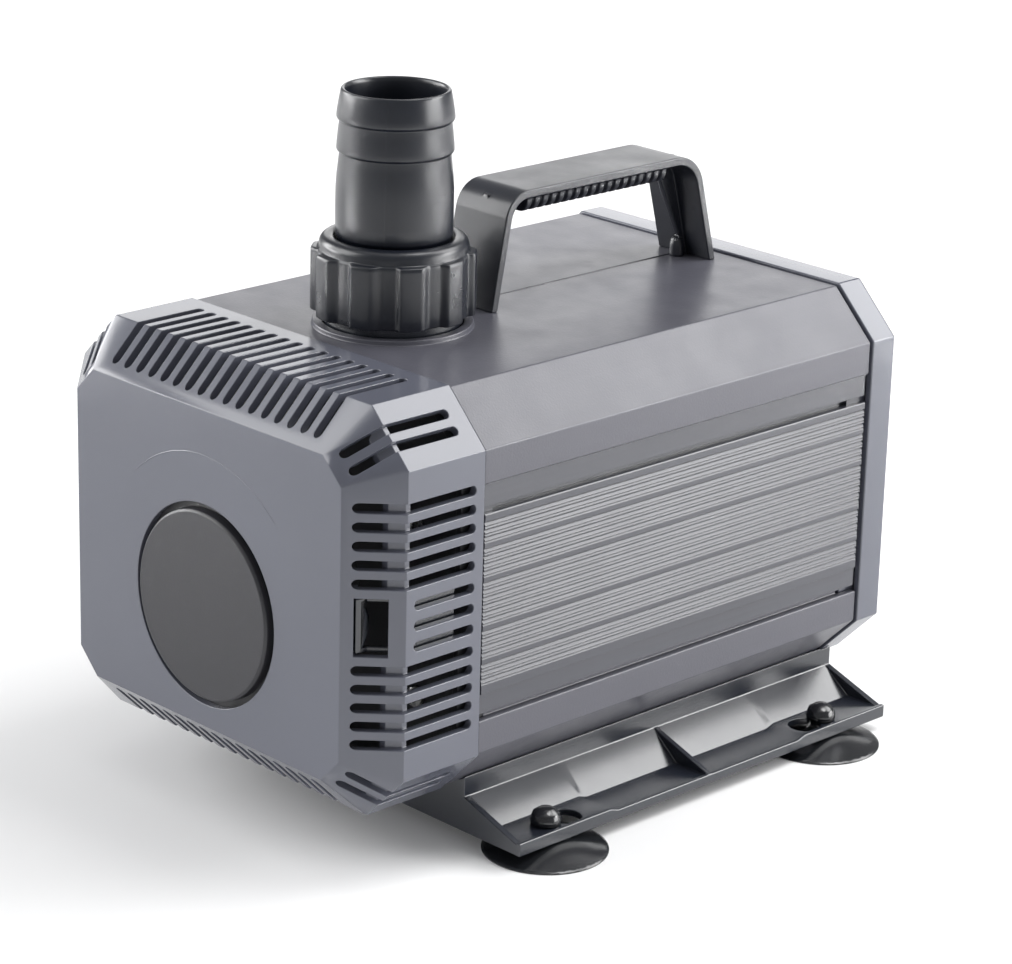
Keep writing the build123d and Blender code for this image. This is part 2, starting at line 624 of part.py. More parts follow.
# ---- motor --------------------------------------------------------------------
def rotor_sleeve():
    """Thin can that keeps the water and the rotor away from the windings."""
    rear = SLEEVE_REAR
    can = rod_y(0, AXIS_Z, VOLUTE_RADIUS, VOLUTE_REAR, SLEEVE_FLANGE_REAR)
    can += ears(VOLUTE_REAR, SLEEVE_FLANGE_REAR)
    can += rod_y(0, AXIS_Z, SLEEVE_RADIUS, SLEEVE_FLANGE_REAR, rear + 2.5)
    can -= rod_y(0, AXIS_Z, SLEEVE_BORE, VOLUTE_REAR - 1, rear)
    can += tube_y(0, AXIS_Z, 7.5, 5.0, rear - 9, rear)
    return can - ears(VOLUTE_REAR - 1, SLEEVE_FLANGE_REAR + 1, 1.9)


def motor_case():
    case = rod_y(0, AXIS_Z, VOLUTE_RADIUS, SLEEVE_FLANGE_REAR, MOTOR_FLANGE_REAR)
    case += ears(SLEEVE_FLANGE_REAR, MOTOR_FLANGE_REAR + 4)
    case += rod_y(0, AXIS_Z, 46.0, MOTOR_FLANGE_REAR, MOTOR_REAR)
    case -= rod_y(0, AXIS_Z, 43.0, SLEEVE_FLANGE_REAR - 1, MOTOR_REAR - 4)
    case -= rod_y(0, AXIS_Z - 30, 5.2, MOTOR_REAR - 5, MOTOR_REAR + 1)
    case -= tube_y(0, AXIS_Z, 47.2, 44.8, SLEEVE_FLANGE_REAR - 1, SLEEVE_FLANGE_REAR + 1.4)
    return case - ears(SLEEVE_FLANGE_REAR - 1, MOTOR_FLANGE_REAR + 3, 1.8)


def motor_seal():
    return tube_y(0, AXIS_Z, 47.1, 44.9, SLEEVE_FLANGE_REAR, SLEEVE_FLANGE_REAR + 1.4)


def coil_bars(radius, y0, y1):
    bars = []
    for k in range(COIL_SLOTS):
        angle = math.radians(360 / COIL_SLOTS * (k + 0.5))
        x = COIL_CIRCLE * math.cos(angle)
        z = AXIS_Z + COIL_CIRCLE * math.sin(angle)
        bars.append(rod_y(x, z, radius, y0, y1))
    return bars


def stator_core():
    core = tube_y(0, AXIS_Z, 43.0, SLEEVE_RADIUS + 0.1, CORE_FRONT, CORE_REAR)
    return core - coil_bars(COIL_BAR + 0.2, CORE_FRONT - 2, CORE_REAR + 4)


def stator_windings():
    front = tube_y(0, AXIS_Z, 39.0, 21.0, CORE_FRONT - 13, CORE_FRONT - 1)
    rear = tube_y(0, AXIS_Z, 39.0, 21.0, CORE_REAR + 1, CORE_REAR + 13)
    return front + rear + coil_bars(COIL_BAR, CORE_FRONT - 2, CORE_REAR + 2)


def impeller_shaft():
    return rod_y(0, AXIS_Z, SHAFT_RADIUS, 54.0, 195.0)


def front_shaft_bush():
    return tube_y(0, AXIS_Z, 5.0, SHAFT_RADIUS, 53.0, 62.0)


def rear_shaft_bush():
    return tube_y(0, AXIS_Z, 5.0, SHAFT_RADIUS, 187.0, 195.5)


def thrust_washers():
    front = tube_y(0, AXIS_Z, 6.5, SHAFT_RADIUS, 62.0, 63.6)
    rear = tube_y(0, AXIS_Z, 6.5, SHAFT_RADIUS, 185.4, 187.0)
    return Compound([front, rear])


def impeller():
    """Back plate, hub and backward-swept blades; the hub drives the magnet."""
    wheel = rod_y(0, AXIS_Z, IMPELLER_RADIUS, 98.0, 101.0)
    wheel += rod_y(0, AXIS_Z, 9.0, 64.0, 108.0)
    arc = ThreePointArc((8, 0), (23, -6.5), (IMPELLER_RADIUS - 1.5, -1.0))
    blade_face = Plane.XZ * make_face(trace(arc, 2.4).face().outer_wire())
    blade = Pos(0, 74.0, AXIS_Z) * extrude(blade_face, amount=25.0, dir=(0, 1, 0))
    for k in range(IMPELLER_BLADES):
        wheel += Pos(0, 0, AXIS_Z) * Rot(0, 360 / IMPELLER_BLADES * k, 0) * Pos(0, 0, -AXIS_Z) * blade
    return wheel - rod_y(0, AXIS_Z, SHAFT_RADIUS + RUNNING_GAP, 60, 110)


def rotor_magnet():
    return tube_y(0, AXIS_Z, 15.8, SHAFT_RADIUS + RUNNING_GAP, 108.0, 185.0)


# ---- outlet union -------------------------------------------------------------
def outlet_seal():
    return tube_z(0, OUTLET_Y, 23.0, OUTLET_BORE + 0.6, STUB_TOP, STUB_TOP + SEAL_THICK)


def hose_tail():
    base = STUB_TOP + SEAL_THICK
    profile = [
        (OUTLET_BORE, base), (TAIL_FLANGE_RADIUS, base),
        (TAIL_FLANGE_RADIUS, base + TAIL_FLANGE), (TAIL_NECK, base + TAIL_FLANGE),
        (TAIL_NECK, BARREL_BOTTOM), (TAIL_RADIUS, BARREL_BOTTOM),
        (TAIL_RADIUS, BARREL_TOP), (19.15, 227.1), (19.9, 227.4), (20.1, 228.5),
        (19.2, 238.0), (19.9, 238.4), (20.14, 239.6), (18.65, TAIL_TOP),
        (17.6, TAIL_TOP), (OUTLET_BORE, TAIL_TOP - 1.2),
    ]
    return turned_z(profile, 0, OUTLET_Y)


def union_nut():
    base = STUB_TOP + SEAL_THICK + TAIL_FLANGE
    nut = rod_z(0, OUTLET_Y, NUT_RADIUS, NUT_BOTTOM, NUT_SHOULDER)
    flute_circle = NUT_RADIUS + 3.0
    for k in range(NUT_FLUTES):
        angle = math.radians(NUT_FLUTE_TURN + 360 / NUT_FLUTES * k)
        x = flute_circle * math.cos(angle)
        y = OUTLET_Y + flute_circle * math.sin(angle)
        nut -= rod_z(x, y, NUT_FLUTE_RADIUS, NUT_BOTTOM - 1, NUT_SHOULDER + 1)
    collar = rod_z(0, OUTLET_Y, NUT_COLLAR, NUT_SHOULDER, NUT_TOP)
    nut += fillet(collar.edges().group_by(Axis.Z)[-1], 1.2)
    nut -= rod_z(0, OUTLET_Y, STUB_RADIUS + 0.2, NUT_BOTTOM - 1, base + 0.2)
    return nut - rod_z(0, OUTLET_Y, TAIL_NECK + 0.08, base, NUT_TOP + 1)


# ---- handle -------------------------------------------------------------------
def handle_outline(inset):
    """Side view of the handle arch in (y, z), moved inwards by inset."""
    foot = BODY_TOP - SKIN_INSET
    height = HANDLE_TOP - foot
    lean_front = height * FRONT_LEAN
    lean_rear = height * REAR_LEAN
    shift_front = inset * math.hypot(1, FRONT_LEAN)
    shift_rear = inset * math.hypot(1, REAR_LEAN)
    points = [
        (HANDLE_FRONT + shift_front, foot),
        (HANDLE_FRONT + lean_front + shift_front - inset * FRONT_LEAN, HANDLE_TOP - inset),
        (HANDLE_REAR - lean_rear - shift_rear + inset * REAR_LEAN, HANDLE_TOP - inset),
        (HANDLE_REAR - shift_rear, foot),
    ]
    outline = make_face(Polyline(*points, close=True))
    upper = outline.vertices().group_by(Axis.Y)[-1].sort_by(Axis.X)
    outline = fillet(upper[0], FRONT_KNEE - inset)
    upper = outline.vertices().group_by(Axis.Y)[-1].sort_by(Axis.X)
    return fillet(upper[-1], REAR_KNEE - inset)


def arch_solid(inset, half_width):
    face = Plane.YZ * handle_outline(inset)
    return extrude(face, amount=half_width, both=True)


def grip_bar(half_width, depth, y, length):
    """Bar with a rounded underside, under the top of the handle."""
    middle = HANDLE_TOP - HANDLE_STRAP / 2
    face = Plane.XZ * RectangleRounded(2 * half_width, 2 * depth - HANDLE_STRAP, GRIP_ROUND)
    bar = Pos(0, y + length, middle) * extrude(face, amount=length)
    return bar & block(-20, 20, y - 1, y + length + 1, HANDLE_TOP - 20, middle)


def grip_core():
    """Half-round grip with rounded ribs across it."""
    first = GRIP_START - GRIP_RIB / 2
    span = (GRIP_RIBS - 1) * GRIP_PITCH + GRIP_RIB
    core = grip_bar(GRIP_HALF_WIDTH - GRIP_RIB_DEPTH, GRIP_DEPTH - GRIP_RIB_DEPTH, first, span)
    for k in range(GRIP_RIBS):
        core += grip_bar(GRIP_HALF_WIDTH, GRIP_DEPTH, first + k * GRIP_PITCH, GRIP_RIB)
    return core


def leg_web(inner_foot, lean, reach):
    """Gusset on the inside of a leg, deep at the grip and running out near the foot."""
    foot = BODY_TOP - SKIN_INSET
    bottom = HANDLE_TOP - GRIP_DEPTH + 1
    rise = bottom - foot
    toward = 1 if reach > 0 else -1
    points = [
        (inner_foot - toward, foot), (inner_foot + toward * WEB_FOOT, foot),
        (inner_foot + toward * WEB_FOOT, foot + 5), (inner_foot + lean * rise + reach, bottom),
        (inner_foot + lean * rise + reach, bottom + 5), (inner_foot + lean * rise - toward, bottom + 5),
    ]
    face = Plane.YZ * make_face(Polyline(*points, close=True))
    return extrude(face, amount=WEB_HALF, both=True)


def carry_handle():
    foot = BODY_TOP - SKIN_INSET
    handle = arch_solid(0, HANDLE_HALF_WIDTH) - arch_solid(HANDLE_STRAP, HANDLE_HALF_WIDTH + 1)
    handle += grip_core()
    front_inner = HANDLE_FRONT + HANDLE_STRAP
    rear_inner = HANDLE_REAR - HANDLE_STRAP
    handle += leg_web(front_inner, FRONT_LEAN, WEB_REACH)
    handle += leg_web(rear_inner, -REAR_LEAN, -WEB_REACH)
    for y in HANDLE_SCREW_Y:
        boss = [(0, foot), (HANDLE_BOSS, foot), (HANDLE_BOSS - 0.2, foot + 4.5),
                (HANDLE_BOSS - 0.8, foot + 6.6), (HANDLE_BOSS - 1.9, foot + 7.5), (0, foot + 7.5)]
        handle += turned_z(boss, 0, y)
        handle -= rod_z(0, y, 1.5, foot - 1, foot + 6.5)
    return handle


def handle_screws():
    head_z = BODY_TOP - SKIN_INSET - SKIN
    screws = [screw_z(0, y, head_z, head_z + SKIN + 5.5, 1.45, 3.0, 2.0) for y in HANDLE_SCREW_Y]
    return Compound(screws)


# ---- base ---------------------------------------------------------------------
def trough_profile(rise):
    """Right-hand wing of the bracket: strip, slope, floor and rim, in (x, z)."""
    w = BRACKET_WALL_X
    skin = BRACKET_SKIN
    floor = BRACKET_BOTTOM + skin + 0.6 + rise
    edge = BRACKET_HALF_WIDTH
    slope_foot = 80.0
    return [
        (w, STRIP_BOTTOM), (slope_foot, floor), (edge - RIM_THICK, floor),
        (edge - RIM_THICK, RIM_TOP + rise), (edge, RIM_TOP + rise),
        (edge, BRACKET_BOTTOM), (edge - RIM_THICK, BRACKET_BOTTOM),
        (edge - RIM_THICK, floor - skin), (slope_foot - 1.2, floor - skin),
        (w - skin, STRIP_BOTTOM - 1.0), (w - skin, DECK_TOP - skin), (0, DECK_TOP - skin),
        (0, DECK_TOP), (w - skin, DECK_TOP), (w, STRIP_TOP),
    ]


def gusset(y0, y1):
    """Web that closes the trough between its slope and its rim."""
    edge = BRACKET_HALF_WIDTH
    points = [
        (BRACKET_WALL_X - 1.0, STRIP_BOTTOM), (BRACKET_WALL_X, STRIP_BOTTOM), (edge, RIM_TOP),
        (edge, BRACKET_BOTTOM), (BRACKET_WALL_X - 1.0, BRACKET_BOTTOM),
    ]
    return section(points, y0, y1)


def pad_ramp(y_high, y_low):
    """Slanted step between the raised end of a wing and its lower middle."""
    high = Plane.XZ * make_face(Polyline(*trough_profile(PAD_RISE), close=True))
    low = Plane.XZ * make_face(Polyline(*trough_profile(0), close=True))
    return loft([Pos(0, y_high, 0) * high, Pos(0, y_low, 0) * low], ruled=True)


def base_bracket():
    front_pad_end = BRACKET_FRONT + PAD_LENGTH
    rear_pad_end = BRACKET_REAR - PAD_LENGTH
    wing = section(trough_profile(0), front_pad_end + PAD_RAMP, rear_pad_end - PAD_RAMP)
    wing += section(trough_profile(PAD_RISE), BRACKET_FRONT, front_pad_end)
    wing += section(trough_profile(PAD_RISE), rear_pad_end, BRACKET_REAR)
    wing += pad_ramp(front_pad_end, front_pad_end + PAD_RAMP)
    wing += pad_ramp(rear_pad_end, rear_pad_end - PAD_RAMP)
    end = 2.6
    wing += gusset(BRACKET_FRONT, BRACKET_FRONT + end)
    wing += gusset(BRACKET_REAR - end, BRACKET_REAR)
    middle = (BRACKET_FRONT + BRACKET_REAR) / 2
    wing += gusset(middle - 1.1, middle + 1.1)
    for y0 in (BRACKET_FRONT, BRACKET_REAR - end):
        wing += block(0, BRACKET_WALL_X, y0, y0 + end, BRACKET_BOTTOM, DECK_TOP - 1)
    middle_y = (CUP_Y[0] + CUP_Y[1]) / 2
    for y in CUP_Y:
        inward = 1 if y < middle_y else -1
        wing -= rod_z(CUP_X, y, CUP_NECK + 0.3, 0, 14)
        wing -= rod_z(CUP_X, y + inward * KEYHOLE_STEP, KEYHOLE_RADIUS, 0, 14)
        y_low, y_high = sorted((y, y + inward * KEYHOLE_STEP))
        wing -= block(CUP_X - CUP_NECK + 0.6, CUP_X + CUP_NECK - 0.6, y_low, y_high, 0, 14)
    for y in BRACKET_SCREW_Y:
        wing -= rod_z(BRACKET_SCREW_X, y, SCREW_HOLE, 15, 30)
    wing -= octagon(SKIN_INSET, HOUSING_FRONT, COVER_FRONT)
    wing -= octagon(-0.15, COVER_FRONT - 0.3, COVER_REAR)
    return wing + mirrored(wing)


def bracket_screws():
    head_z = DECK_TOP - BRACKET_SKIN
    screws = [screw_z(x, y, head_z, DECK_TOP + SKIN + 4, 1.6, 3.2, 2.2)
              for x in (-BRACKET_SCREW_X, BRACKET_SCREW_X) for y in BRACKET_SCREW_Y]
    return Compound(screws)


def suction_cup(x, y):
    floor = BRACKET_BOTTOM + BRACKET_SKIN + 0.6 + PAD_RISE
    underside = floor - BRACKET_SKIN
    profile = [
        (0, 2.4), (8.0, 1.9), (15.0, 0.9), (20.0, 0.0), (CUP_RADIUS, 0.0), (CUP_RADIUS, 0.5),
        (20.6, 1.1), (15.0, 2.7), (10.0, 3.9), (5.2, BRACKET_BOTTOM - 0.2),
        (CUP_NECK, underside), (CUP_NECK, floor + 0.2), (5.3, floor + 0.6), (5.4, floor + 2.2),
        (4.6, floor + 4.4), (2.6, floor + 5.8), (0, floor + 6.2),
    ]
    return turned_z(profile, x, y)


# ---- write every node ---------------------------------------------------------
save("strainer_cage", strainer_cage())
save("inlet_cap", inlet_cap())
save("latch_right", latch())
save("latch_left", mirrored(latch()))
save("top_housing", top_housing())
save("bottom_housing", bottom_housing())
save("side_panel_right", side_panel())
save("side_panel_left", mirrored(side_panel()))
save("rear_cover", rear_cover())
save("rear_cover_screws", rear_cover_screws())
save("rear_cradle", rear_cradle())
save("motor_mount_ring", motor_mount_ring())
save("cord_gland", cord_gland())
save("cord_gland_seal", cord_gland_seal())
save("cord_gland_nut", cord_gland_nut())
save("cord_gland_locknut", cord_gland_locknut())
save("front_bulkhead", front_bulkhead())
save("bulkhead_screws", bulkhead_screws())
save("volute_cover", volute_cover())
save("volute_seal", volute_seal())
save("volute_housing", volute_housing())
save("volute_screws", volute_screws())
save("rotor_sleeve", rotor_sleeve())
save("motor_case", motor_case())
save("motor_seal", motor_seal())
save("stator_core", stator_core())
save("stator_windings", stator_windings())
save("impeller_shaft", impeller_shaft())
save("front_shaft_bush", front_shaft_bush())
save("rear_shaft_bush", rear_shaft_bush())
save("thrust_washers", thrust_washers())
save("impeller", impeller())
save("rotor_magnet", rotor_magnet())
save("outlet_seal", outlet_seal())
save("hose_tail", hose_tail())
save("union_nut", union_nut())
save("carry_handle", carry_handle())
save("handle_screws", handle_screws())
save("base_bracket", base_bracket())
save("bracket_screws", bracket_screws())
for end_name, cup_y in zip(("front", "rear"), CUP_Y):
    save(f"suction_cup_{end_name}_right", suction_cup(CUP_X, cup_y))
    save(f"suction_cup_{end_name}_left", suction_cup(-CUP_X, cup_y))
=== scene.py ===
import math

import bmesh
import bpy
from mathutils import Matrix, Vector


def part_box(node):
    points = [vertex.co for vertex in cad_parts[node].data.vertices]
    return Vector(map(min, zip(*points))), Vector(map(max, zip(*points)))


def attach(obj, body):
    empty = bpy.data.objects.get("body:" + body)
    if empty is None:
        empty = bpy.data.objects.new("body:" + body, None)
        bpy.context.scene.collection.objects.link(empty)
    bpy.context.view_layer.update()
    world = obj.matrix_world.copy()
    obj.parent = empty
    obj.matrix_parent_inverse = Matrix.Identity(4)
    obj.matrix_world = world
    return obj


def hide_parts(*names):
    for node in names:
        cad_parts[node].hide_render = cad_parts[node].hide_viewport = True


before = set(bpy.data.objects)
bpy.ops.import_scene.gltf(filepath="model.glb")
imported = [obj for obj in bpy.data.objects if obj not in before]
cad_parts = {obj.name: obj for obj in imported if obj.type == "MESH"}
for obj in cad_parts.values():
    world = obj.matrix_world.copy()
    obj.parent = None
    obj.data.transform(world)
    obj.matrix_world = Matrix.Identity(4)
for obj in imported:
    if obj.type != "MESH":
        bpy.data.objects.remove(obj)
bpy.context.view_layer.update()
SCENE = bpy.context.scene


# ---- node materials --------------------------------------------------------------
class Nodes:
    """Short names for building one node tree."""

    def __init__(self, name):
        self.material = bpy.data.materials.new(name)
        self.material.use_nodes = True
        self.tree = self.material.node_tree
        self.shader = self.tree.nodes["Principled BSDF"]
        coords = self.tree.nodes.new("ShaderNodeTexCoord")
        self.object = coords.outputs["Object"]

    def link(self, source, target):
        self.tree.links.new(source, target)

    def stretched(self, scale):
        mapping = self.tree.nodes.new("ShaderNodeMapping")
        mapping.inputs["Scale"].default_value = scale
        self.link(self.object, mapping.inputs["Vector"])
        return mapping.outputs["Vector"]

    def noise(self, scale, detail=2.0, rough=0.5, vector=None):
        node = self.tree.nodes.new("ShaderNodeTexNoise")
        node.inputs["Scale"].default_value = scale
        node.inputs["Detail"].default_value = detail
        node.inputs["Roughness"].default_value = rough
        self.link(vector or self.object, node.inputs["Vector"])
        return node.outputs["Fac"]

    def spread(self, value, low, high, from_low=0.3, from_high=0.7):
        node = self.tree.nodes.new("ShaderNodeMapRange")
        node.inputs["From Min"].default_value = from_low
        node.inputs["From Max"].default_value = from_high
        node.inputs["To Min"].default_value = low
        node.inputs["To Max"].default_value = high
        self.link(value, node.inputs["Value"])
        return node.outputs["Result"]

    def mix(self, factor, a, b):
        node = self.tree.nodes.new("ShaderNodeMix")
        node.data_type = "RGBA"
        self.link(factor, node.inputs["Factor"])
        for socket, value in ((node.inputs[6], a), (node.inputs[7], b)):
            if isinstance(value, tuple):
                socket.default_value = (*value, 1)
            else:
                self.link(value, socket)
        return node.outputs[2]

    def bump(self, height, distance, strength=1.0, normal=None):
        node = self.tree.nodes.new("ShaderNodeBump")
        node.inputs["Distance"].default_value = distance
        node.inputs["Strength"].default_value = strength
        self.link(height, node.inputs["Height"])
        if normal is not None:
            self.link(normal, node.inputs["Normal"])
        return node.outputs["Normal"]


def shade(colour, amount):
    """The same colour, darker or lighter."""
    return tuple(c * amount for c in colour)


def moulded(name, colour, rough, grain=0.00002, grain_scale=900, spread=0.07,
            streaks=0.0, specular=0.5):
    """Moulded plastic: faint flow mottling, fine surface grain, uneven polish."""
    n = Nodes(name)
    cloud = n.spread(n.noise(14, 3), 0, 1)
    tone = n.mix(cloud, shade(colour, 1 - spread), shade(colour, 1 + spread))
    if streaks:
        lines = n.noise(1, 3, 0.6, n.stretched((500, 9, 500)))
        tone = n.mix(n.spread(lines, 0, streaks), tone, shade(colour, 1.6))
    n.link(tone, n.shader.inputs["Base Color"])
    polish = n.noise(55, 4, 0.6)
    n.link(n.spread(polish, rough * 0.88, rough * 1.14), n.shader.inputs["Roughness"])
    n.shader.inputs["Specular IOR Level"].default_value = specular
    waves = n.bump(n.noise(38, 2), 0.00012, 0.35)
    n.link(n.bump(n.noise(grain_scale, 2), grain, 1.0, waves), n.shader.inputs["Normal"])
    return n.material


def metal(name, colour, rough, brushed=(900, 900, 30)):
    """Brushed metal: fine lines in its tone, polish and relief."""
    n = Nodes(name)
    lines = n.noise(1, 3, 0.7, n.stretched(brushed))
    tone = n.mix(n.spread(lines, 0, 1), shade(colour, 0.82), colour)
    n.link(tone, n.shader.inputs["Base Color"])
    n.link(n.spread(lines, rough * 0.75, rough * 1.3), n.shader.inputs["Roughness"])
    n.shader.inputs["Metallic"].default_value = 1.0
    n.link(n.bump(lines, 0.00001), n.shader.inputs["Normal"])
    return n.material


CAGE = moulded("cage_plastic", (0.104, 0.109, 0.137), 0.17, 0.000003, 900, 0.03, specular=0.75)
HOUSING = moulded("housing_plastic", (0.080, 0.080, 0.098), 0.34, 0.00005, 1300, 0.05,
                  streaks=0.06, specular=0.6)
PANEL = moulded("panel_plastic", (0.047, 0.048, 0.060), 0.21, 0.00003, 1100, 0.05,
                streaks=0.12, specular=0.8)
CAP = moulded("cap_plastic", (0.029, 0.029, 0.034), 0.42, 0.00003, 1200, 0.04)
OUTLET_PLASTIC = moulded("outlet_plastic", (0.007, 0.009, 0.015), 0.30, 0.000012, 900, 0.06,
                         streaks=0.05, specular=0.75)
HANDLE = moulded("handle_plastic", (0.016, 0.018, 0.025), 0.32, 0.00002, 1000, 0.06,
                 streaks=0.10, specular=0.7)
DARK = moulded("dark_plastic", (0.016, 0.019, 0.027), 0.24, 0.000006, 800, 0.06, specular=1.0)
INNER = moulded("inner_plastic", (0.020, 0.021, 0.024), 0.40, 0.00002, 800, 0.06)
RUBBER = moulded("cup_rubber", (0.010, 0.011, 0.013), 0.20, 0.000004, 500, 0.08, specular=0.8)
SEAL = moulded("seal_rubber", (0.010, 0.010, 0.011), 0.50, 0.00002, 900, 0.10)
STEEL = metal("stainless_steel", (0.60, 0.60, 0.59), 0.28)
CORE = metal("stator_steel", (0.42, 0.42, 0.43), 0.42, (60, 4000, 60))
COPPER = metal("copper_wire", (0.55, 0.24, 0.12), 0.30, (2200, 200, 2200))
CERAMIC = moulded("ceramic", (0.72, 0.71, 0.67), 0.22, 0.000004, 900, 0.02)
FERRITE = moulded("ferrite", (0.030, 0.029, 0.030), 0.48, 0.00003, 1500, 0.10)

NODE_MATERIAL = {
    "strainer_cage": CAGE, "rear_cover": CAGE, "inlet_cap": CAP,
    "top_housing": HOUSING, "bottom_housing": HOUSING,
    "side_panel_right": PANEL, "side_panel_left": PANEL,
    "hose_tail": OUTLET_PLASTIC, "union_nut": OUTLET_PLASTIC, "carry_handle": HANDLE,
    "latch_right": DARK, "latch_left": DARK, "base_bracket": DARK, "volute_housing": DARK,
    "cord_gland": DARK, "cord_gland_nut": DARK, "cord_gland_locknut": DARK,
    "cord_gland_seal": SEAL, "outlet_seal": SEAL, "volute_seal": SEAL, "motor_seal": SEAL,
    "motor_mount_ring": SEAL,
    "stator_core": CORE, "stator_windings": COPPER, "impeller_shaft": CERAMIC,
    "front_shaft_bush": CERAMIC, "rear_shaft_bush": CERAMIC, "thrust_washers": CERAMIC,
    "rotor_magnet": FERRITE,
}
for node_name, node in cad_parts.items():
    if node_name.endswith("_screws"):
        finish = STEEL
    elif node_name.startswith("suction_cup"):
        finish = RUBBER
    else:
        finish = NODE_MATERIAL.get(node_name, INNER)
    node.data.materials.clear()
    node.data.materials.append(finish)


# ---- softened edges on the kept CAD nodes ------------------------------------------
WELD_REACH = 0.00001
FLAT_WITHIN = math.radians(0.6)
SHARP_FROM = math.radians(35)


def soften(name, width):
    """Weld the loaded shell, clear flat faces of their triangles and round the sharp edges."""
    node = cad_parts[name]
    for face in node.data.polygons:
        face.use_smooth = True
    weld = node.modifiers.new("weld", "WELD")
    weld.merge_threshold = WELD_REACH
    flat = node.modifiers.new("flat", "DECIMATE")
    flat.decimate_type = "DISSOLVE"
    flat.angle_limit = FLAT_WITHIN
    if width:
        bevel = node.modifiers.new("edges", "BEVEL")
        bevel.width = width
        bevel.segments = 2
        bevel.limit_method = "ANGLE"
        bevel.angle_limit = SHARP_FROM
        bevel.use_clamp_overlap = False
        bevel.miter_outer = "MITER_SHARP"
        bevel.loop_slide = False
    weighted = node.modifiers.new("normals", "WEIGHTED_NORMAL")
    weighted.weight = 60


# width of the rounding in metres; a node that isn't named here keeps its sharp edges
EDGE_WIDTH = {
    "strainer_cage": 0.00028, "rear_cover": 0.0006, "inlet_cap": 0.0003,
    "top_housing": 0.0005, "bottom_housing": 0.0005,
    "side_panel_right": 0.00008, "side_panel_left": 0.00008,
    "base_bracket": 0.0004, "latch_right": 0.0004, "latch_left": 0.0004,
    "carry_handle": 0.0005, "union_nut": 0.0006, "hose_tail": 0.0003,
    "cord_gland": 0.0003, "cord_gland_nut": 0.0004, "volute_housing": 0.0003,
    "front_bulkhead": 0.0003, "volute_cover": 0.0003,
}
for node_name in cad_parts:
    soften(node_name, EDGE_WIDTH.get(node_name, 0))


# ---- new pieces ----------------------------------------------------------------------
def piece(name, bm, material, body, replaced=()):
    """Finish a bmesh as one named object of the pump."""
    bmesh.ops.recalc_face_normals(bm, faces=bm.faces)
    for face in bm.faces:
        face.smooth = True
    mesh = bpy.data.meshes.new(name)
    bm.to_mesh(mesh)
    bm.free()
    thing = bpy.data.objects.new(name, mesh)
    SCENE.collection.objects.link(thing)
    mesh.materials.append(material)
    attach(thing, body)
    if replaced:
        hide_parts(*replaced)


def ring_solid(centre, steps, profile):
    """Closed ring about a vertical axis; profile(angle) gives its (radius, z) loop in mm."""
    bm = bmesh.new()
    loops = []
    for k in range(steps):
        angle = 2 * math.pi * k / steps
        loops.append([
            bm.verts.new((
                centre[0] + r / 1000 * math.cos(angle),
                centre[1] + r / 1000 * math.sin(angle),
                z / 1000,
            ))
            for r, z in profile(angle)
        ])
    count = len(loops[0])
    for k in range(steps):
        here, after = loops[k], loops[(k + 1) % steps]
        for i in range(count):
            j = (i + 1) % count
            bm.faces.new((here[i], after[i], after[j], here[j]))
    return bm


def smoothstep(low, high, value):
    """0 below low, 1 above high and a smooth rise between them."""
    t = min(1.0, max(0.0, (value - low) / (high - low)))
    return t * t * (3 - 2 * t)


TAIL_LOW, TAIL_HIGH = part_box("hose_tail")
OUTLET = ((TAIL_LOW.x + TAIL_HIGH.x) / 2, (TAIL_LOW.y + TAIL_HIGH.y) / 2)
NUT_LOBES = 10
NUT_TURN = math.radians(7.5)
NUT_ROOT = 26.6           # radius in mm between the lobes
NUT_LOBE = 2.05           # height of a lobe over it
NUT_STEPS = 40            # sections per lobe
TAIL_STEPS = 540
SEAM_ANGLES = (math.radians(-51), math.radians(129))
SEAM_HEIGHT = 0.10        # mm
SEAM_SPREAD = 0.014       # radians


def union_nut():
    """Union nut with ten broad lobes and a rounded collar above them."""
    def profile(angle):
        turn = (angle - NUT_TURN) / (2 * math.pi) * NUT_LOBES
        within = (turn + 0.5) % 1 - 0.5
        if within < 0:
            lobe = 1 - smoothstep(0.23, 0.36, -within)
        else:
            lobe = 1 - smoothstep(0.14, 0.40, within)
        side = NUT_ROOT + NUT_LOBE * lobe
        return [
            # lobed skirt, from its lower rim up to its rounded shoulder
            (side - 0.7, 170.8), (side - 0.2, 171.0), (side, 171.5), (side, 175),
            (side - 0.03, 182), (side - 0.06, 191.2), (side - 0.1, 192.3),
            (side - 0.25 - 0.1 * lobe, 192.75), (side - 0.5 - 0.1 * lobe, 192.95),
            # round collar
            (26.0 + 0.9 * lobe, 193.1), (25.95 + 0.1 * lobe, 193.25), (25.9, 193.6),
            (25.8, 195.0), (25.5, 196.1), (24.9, 197.0), (24.1, 197.55), (23.0, 197.8),
            (21.6, 197.8), (21.0, 197.6), (20.65, 197.1), (20.6, 196.0),
            # inside
            (19.72, 195.9), (19.72, 191.3), (24.2, 190.9), (24.2, 170.8),
        ]
    ring = ring_solid(OUTLET, NUT_LOBES * NUT_STEPS, profile)
    piece("union_nut_lobed", ring, OUTLET_PLASTIC, "nut", ["union_nut"])


